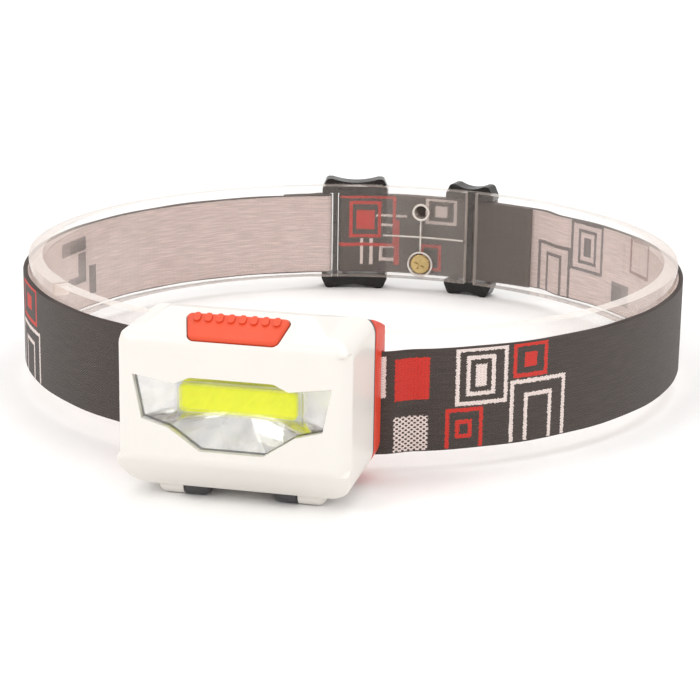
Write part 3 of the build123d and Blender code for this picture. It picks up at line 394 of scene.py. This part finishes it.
FIGURE_LINE = 1.0
FIGURE_WANDER = 1.05
ARCH_DROP = 6.0
ROW_PITCH, CORD_PITCH = 0.85, 0.62
KNIT_ROW_PITCH, KNIT_CORD_PITCH = 1.5, 1.1


def on_ring(radius, bearing):
    """Point in plan at a radius and a bearing."""
    return Vector((radius * sin(radians(bearing)), radius * cos(radians(bearing))))


def radius_at(keys, bearing):
    """Radius between two keys, with a smooth change."""
    for (start, low), (stop, high) in zip(keys, keys[1:]):
        share = (bearing - start) / (stop - start)
        if 0 <= share <= 1:
            return low + (high - low) * share * share * (3 - 2 * share)
    return keys[-1][1]


def run_stations(keys, pattern_turn, step=0.5):
    """Points of one run with the turn of the pattern at each, from its first key to its last."""
    start, stop = keys[0][0], keys[-1][0]
    count = max(3, round(abs(stop - start) / step))
    bearings = [start + (stop - start) * i / count for i in range(count + 1)]
    return [(on_ring(radius_at(keys, b), b), pattern_turn(b)) for b in bearings]


def loop_stations(loop, turn, count=16):
    """Points of the wrap round a bar, between its outer and its inner side."""
    bearing, radius, wrap, way = loop
    outward = on_ring(1.0, bearing)
    forward = Vector((outward.y, -outward.x)) * way
    centre = outward * radius
    angles = [pi * i / count for i in range(1, count)]
    return [(centre + (outward * cos(a) + forward * sin(a)) * wrap, turn) for a in angles]


def strap_stations():
    """Centre line of the webbing from the sewn flap, round the head loop, to the loose end."""
    flap = run_stations(FLAP_KEYS, lambda b: FLAP_TURN + b, 0.4)
    main = run_stations(STRAP_KEYS, lambda b: -b)
    tail = run_stations(TAIL_KEYS, lambda b: TAIL + b)
    return flap + loop_stations(SEWN_LOOP, 18.6) + main + loop_stations(FOLD_LOOP, 374.6) + tail


def strap_profile():
    """Outline of the section as (across, through, part): part 0 is the face, 1 the back, 2 an edge."""
    columns = 14
    flat = STRAP_HALF - EDGE_ROLL
    half = STRAP_THICK / 2
    shoulder = (flat + 0.3, half * 0.82)
    across = [flat - 2 * flat * i / columns for i in range(columns + 1)]
    face = [(v, half, 0) for v in across]
    low_edge = [(-shoulder[0], shoulder[1], 2), (-STRAP_HALF, 0.0, 2), (-shoulder[0], -shoulder[1], 2)]
    back = [(v, -half, 1) for v in reversed(across)]
    high_edge = [(shoulder[0], -shoulder[1], 2), (STRAP_HALF, 0.0, 2), (shoulder[0], shoulder[1], 2)]
    return face + low_edge + back + high_edge


def make_webbing(materials):
    """Elastic webbing as one closed band, with the length and width of its weave as its UV map."""
    stations = strap_stations()
    profile = strap_profile()
    mesh = bmesh.new()
    weave = mesh.loops.layers.uv.new("weave")
    rings = []
    for index, (place, _) in enumerate(stations):
        ahead = stations[min(index + 1, len(stations) - 1)][0]
        behind = stations[max(index - 1, 0)][0]
        travel = (ahead - behind).normalized()
        side = Vector((travel.y, -travel.x))
        sway = 0.05 * sin(index * 0.21) + 0.04 * sin(index * 0.083)
        ring = []
        for across, through, part in profile:
            ripple = sway if part == 2 else 0.0
            point = place + side * through
            ring.append(mesh.verts.new((point.x * MM, point.y * MM, (across + ripple) * MM)))
        rings.append(ring)
    count = len(profile)
    for index in range(len(rings) - 1):
        turns = [stations[index][1], stations[index + 1][1]]
        for k in range(count):
            after = (k + 1) % count
            corners = [rings[index][k], rings[index + 1][k], rings[index + 1][after], rings[index][after]]
            face = mesh.faces.new(corners)
            face.smooth = True
            parts = {profile[k][2], profile[after][2]}
            face.material_index = 2 if 2 in parts else parts.pop()
            marks = [(turns[0], k), (turns[1], k), (turns[1], after), (turns[0], after)]
            for loop, (turn, row) in zip(face.loops, marks):
                loop[weave].uv = (radians(turn) * PATTERN_R, profile[row][0])
    for ring in (rings[0], rings[-1]):
        mesh.faces.new(ring).material_index = 2
    bmesh.ops.recalc_face_normals(mesh, faces=mesh.faces)
    return add_mesh("strap_elastic", mesh, materials)


def strap_length():
    """Length of the webbing along its centre line, in metres."""
    points = [place for place, _ in strap_stations()]
    return sum((b - a).length for a, b in zip(points, points[1:])) * MM


def add_mesh(name, mesh, materials):
    """Object from a finished bmesh."""
    data = bpy.data.meshes.new(name)
    mesh.to_mesh(data)
    mesh.free()
    piece = bpy.data.objects.new(name, data)
    for material in materials:
        data.materials.append(material)
    bpy.context.collection.objects.link(piece)
    return piece


def weave_group():
    """Node group of the woven figures: masks for light thread, red thread and the knitted square."""
    tree = bpy.data.node_groups.new("woven_figures", "ShaderNodeTree")
    sockets = tree.interface
    sockets.new_socket("Weave", in_out="INPUT", socket_type="NodeSocketVector")
    for name in ("Light", "Red", "Ribs"):
        sockets.new_socket(name, in_out="OUTPUT", socket_type="NodeSocketFloat")
    graph = Graph(tree)
    entry = graph.add("NodeGroupInput")
    exit_node = graph.add("NodeGroupOutput")
    wander = graph.noise(2.6, 2.0, vector=entry.outputs["Weave"])
    split = graph.add("ShaderNodeSeparateXYZ", {0: entry.outputs["Weave"]})
    shift = graph.math("MULTIPLY", graph.math("SUBTRACT", wander, 0.5), FIGURE_WANDER)
    along = graph.math("ADD", split.outputs["X"], shift)
    across = graph.math("ADD", split.outputs["Y"], shift)
    pick_rows = graph.math("SINE", graph.math("MULTIPLY", split.outputs["X"], 2 * pi / ROW_PITCH))
    cords = graph.math("SINE", graph.math("MULTIPLY", split.outputs["Y"], 2 * pi / CORD_PITCH))
    checks = graph.math("MULTIPLY", pick_rows, cords)
    knit_rows = graph.math("SINE", graph.math("MULTIPLY", split.outputs["X"], 2 * pi / KNIT_ROW_PITCH))
    knit_cords = graph.math("SINE", graph.math("MULTIPLY", split.outputs["Y"], 2 * pi / KNIT_CORD_PITCH))
    knit = graph.math("MULTIPLY", knit_rows, knit_cords)
    masks = {"light": 0.0, "red": 0.0}
    for style, colour, start, stop, low, high in FIGURES:
        first, last = (radians(turn) * PATTERN_R for turn in (start, stop))
        if style == "arch":
            low -= ARCH_DROP
        gaps = []
        for position, lower, upper in ((along, first, last), (across, low, high)):
            offset = graph.math("ABSOLUTE", graph.math("SUBTRACT", position, (lower + upper) / 2))
            gaps.append(graph.math("SUBTRACT", offset, (upper - lower) / 2))
        outside = graph.math("MAXIMUM", *gaps)
        mask = graph.math("LESS_THAN", outside, 0.0)
        if style in ("line", "arch"):
            mask = graph.math("MULTIPLY", mask, graph.math("GREATER_THAN", outside, -FIGURE_LINE))
        if style == "knit":
            mask = graph.math("MULTIPLY", mask, graph.math("GREATER_THAN", knit, -0.22))
        masks[colour] = graph.math("MAXIMUM", masks[colour], mask)
    graph.feed(exit_node.inputs["Light"], masks["light"])
    graph.feed(exit_node.inputs["Red"], masks["red"])
    ribs = graph.math("ADD", graph.math("MULTIPLY", checks, 0.7), graph.math("MULTIPLY", cords, 0.3))
    graph.feed(exit_node.inputs["Ribs"], ribs)
    return tree


def webbing_material(name, group, ground, light, red):
    """Elastic jacquard: ribbed ground, figures in two thread colours, uneven yarn, a soft nap and painted
    shade in the valleys between the ribs.
    """
    settings = {"Sheen Weight": 0.12, "Sheen Roughness": 0.6}
    material, graph, shader = new_material(name, settings)
    weave = graph.add("ShaderNodeUVMap", uv_map="weave").outputs["UV"]
    figures = graph.add("ShaderNodeGroup", {}, node_tree=group)
    graph.feed(figures.inputs["Weave"], weave)
    ribs = figures.outputs["Ribs"]
    yarn = graph.noise(2.4, 4.0, vector=weave)
    drawn = graph.add("ShaderNodeVectorMath", {0: weave, 1: (0.14, 2.6, 1)}, operation="MULTIPLY")
    streaks = graph.noise(1.0, 4.0, vector=drawn.outputs[0])
    base = graph.mix(graph.spread(yarn, 0.0, 1.0), scaled(ground, 0.85), scaled(ground, 1.15))
    base = graph.mix(graph.spread(streaks, 0.0, 0.75, 0.42, 0.66), base, scaled(ground, 1.5))
    base = graph.mix(figures.outputs["Light"], base, light)
    base = graph.mix(figures.outputs["Red"], base, red)
    # Painted shade: the valleys between the ribs are darkened towards a dark copy of the ground colour.
    rib_valley_shade = graph.mix(graph.spread(ribs, 0.3, 0.0, -1.0, 0.6), base, scaled(ground, 0.6))
    graph.feed(shader.inputs["Base Color"], rib_valley_shade)
    graph.feed(shader.inputs["Roughness"], graph.spread(yarn, 0.78, 0.95))
    raised = graph.math("ADD", ribs, graph.math("MULTIPLY", figures.outputs["Light"], 0.6))
    graph.feed(shader.inputs["Normal"], graph.bump(raised, 0.00012, 0.8))
    return material


def stitch_tube(mesh, centre, along, outward, length, radius):
    """Half-sunk curved stitch of thread between two needle holes."""
    steps, sides = 6, 8
    rings = []
    for step in range(steps + 1):
        share = step / steps
        reach = (share - 0.5) * length
        rise = sin(pi * share) * radius * 1.3 - radius * 0.5
        middle = centre + along * reach + outward * rise
        slope = (along * length + outward * cos(pi * share) * pi * radius * 1.3).normalized()
        normal = slope.cross(along.cross(outward)).normalized()
        binormal = slope.cross(normal)
        ring = []
        for side in range(sides):
            angle = 2 * pi * side / sides
            ring.append(mesh.verts.new(middle + (normal * cos(angle) + binormal * sin(angle)) * radius))
        rings.append(ring)
    for first, second in zip(rings, rings[1:]):
        for side in range(sides):
            after = (side + 1) % sides
            mesh.faces.new([first[side], second[side], second[after], first[after]]).smooth = True
    mesh.faces.new(rings[0])
    mesh.faces.new(rings[-1])


STITCH_ROWS = (-23.6, -25.2)
STITCH_SURFACE_R = 90.12
STITCHES = 8
STITCH_PITCH = 2.9
STITCH_LENGTH = 2.3
THREAD_R = 0.22


def make_stitching(material):
    """Two rows of thread that close the loop sewn round the fixed slider's bar."""
    mesh = bmesh.new()
    for bearing in STITCH_ROWS:
        outward = on_ring(1.0, bearing).to_3d()
        for row in range(STITCHES):
            height = (row - (STITCHES - 1) / 2) * STITCH_PITCH
            centre = (outward * STITCH_SURFACE_R + Vector((0, 0, height))) * MM
            stitch_tube(mesh, centre, Vector((0, 0, 1)), outward, STITCH_LENGTH * MM, THREAD_R * MM)
    bmesh.ops.recalc_face_normals(mesh, faces=mesh.faces)
    return add_mesh("flap_stitches", mesh, [material])


# A rim is (height, radius, radius of its round section).
LAP_BEARING = 1.5
LAP_INNER_R = 83.95
HOLE_RIM = (8.5, 2.4, 0.36)
SCREW_RIM = (-8.0, 3.75, 0.3)
RIB_R = 0.26
UPRIGHT_RIB = (-4.2, -1.0, 2.4, 6.0)
LEVEL_RIB_Z = 0.6
LEVEL_RIB_START, LEVEL_RIB_SPAN = -6.6, 17.4
LEVEL_RIB_STEPS = 24


def tube_along(mesh, points, radius, closed=False, sides=10):
    """Round rib through points given in millimetres."""
    rings = []
    count = len(points)
    for index, point in enumerate(points):
        ahead = points[(index + 1) % count] if closed else points[min(index + 1, count - 1)]
        behind = points[index - 1] if closed or index else points[0]
        travel = (ahead - behind).normalized()
        out = Vector((point.x, point.y, 0)).normalized()
        across = travel.cross(out).normalized()
        out = across.cross(travel)
        angles = [2 * pi * side / sides for side in range(sides)]
        spots = [point + (out * cos(a) + across * sin(a)) * radius for a in angles]
        rings.append([mesh.verts.new(spot * MM) for spot in spots])
    pairs = list(zip(rings, rings[1:])) + ([(rings[-1], rings[0])] if closed else [])
    for first, second in pairs:
        for side in range(sides):
            after = (side + 1) % sides
            mesh.faces.new([first[side], second[side], second[after], first[after]]).smooth = True
    if not closed:
        mesh.faces.new(rings[0])
        mesh.faces.new(rings[-1])


def circle_on_lap(z, radius, count=40):
    """Points of a circle round a hole through the lap of the former."""
    outward = on_ring(1.0, LAP_BEARING).to_3d()
    sideways = Vector((outward.y, -outward.x, 0))
    centre = outward * LAP_INNER_R + Vector((0, 0, z))
    angles = [2 * pi * i / count for i in range(count)]
    return [centre + (sideways * cos(a) + Vector((0, 0, 1)) * sin(a)) * radius for a in angles]


def make_former_ribs():
    """Rims and ribs moulded on the lap of the former: round the hole, round the screw, between them."""
    mesh = bmesh.new()
    for z, rim_r, tube_r in (HOLE_RIM, SCREW_RIM):
        tube_along(mesh, circle_on_lap(z, rim_r), tube_r, closed=True)
    upright = [on_ring(LAP_INNER_R, LAP_BEARING).to_3d() + Vector((0, 0, z)) for z in UPRIGHT_RIB]
    tube_along(mesh, upright, RIB_R)
    bearings = [LEVEL_RIB_START + LEVEL_RIB_SPAN * i / LEVEL_RIB_STEPS for i in range(LEVEL_RIB_STEPS + 1)]
    level = [on_ring(LAP_INNER_R + 0.2, b).to_3d() + Vector((0, 0, LEVEL_RIB_Z)) for b in bearings]
    tube_along(mesh, level, RIB_R)
    bmesh.ops.recalc_face_normals(mesh, faces=mesh.faces)
    settings = {"Transmission Weight": 0.25, "IOR": 1.46, "Coat Weight": 0.7}
    material, graph, shader = new_material("former_rim", settings)
    haze = graph.noise(420.0, 3.0)
    tone = graph.mix(graph.spread(haze, 0.0, 1.0), tint(250, 246, 240), tint(222, 212, 204))
    graph.feed(shader.inputs["Base Color"], tone)
    graph.feed(shader.inputs["Roughness"], graph.spread(haze, 0.06, 0.18))
    graph.feed(shader.inputs["Normal"], graph.bump(haze, 0.00001))
    ribs = add_mesh("former_ribs", mesh, [material])
    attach(ribs, "headband")


def make_strap():
    """Webbing and thread, in place of the plain CAD strap and stitching."""
    group = weave_group()
    dark, light, red = tint(59, 50, 45), tint(236, 220, 214), tint(208, 42, 27)
    pale, shade = tint(206, 188, 183), tint(84, 76, 76)
    face = webbing_material("webbing_face", group, dark, light, red)
    back = webbing_material("webbing_back", group, pale, shade, tint(120, 72, 66))
    edge = moulded("webbing_edge", tint(66, 57, 54), 0.2, (0.8, 0.95), 1500.0, 0.0001)
    webbing = make_webbing([face, back, edge])
    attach(webbing, "headband")
    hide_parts("strap_webbing")
    stitches = make_stitching(moulded("thread", tint(46, 40, 38), 0.2, (0.6, 0.8), 2600.0, 0.00005))
    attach(stitches, "headband")
    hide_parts("strap_stitching")
    strap_length()


# ==== floor =============================================================================================

def make_floor():
    """Plain pale studio floor."""
    mesh = bmesh.new()
    bmesh.ops.create_grid(mesh, x_segments=2, y_segments=2, size=4.0)
    bmesh.ops.translate(mesh, verts=mesh.verts, vec=(0, 0, FLOOR_Z))
    floor = add_mesh("floor", mesh, [moulded("floor_paper", tint(250, 249, 248), 0.01, (0.7, 0.85))])


make_camera()
make_world()
make_floor()
for light_settings in LIGHTS:
    make_light(*light_settings)
dress_cad_parts()
make_strap()
make_former_ribs()
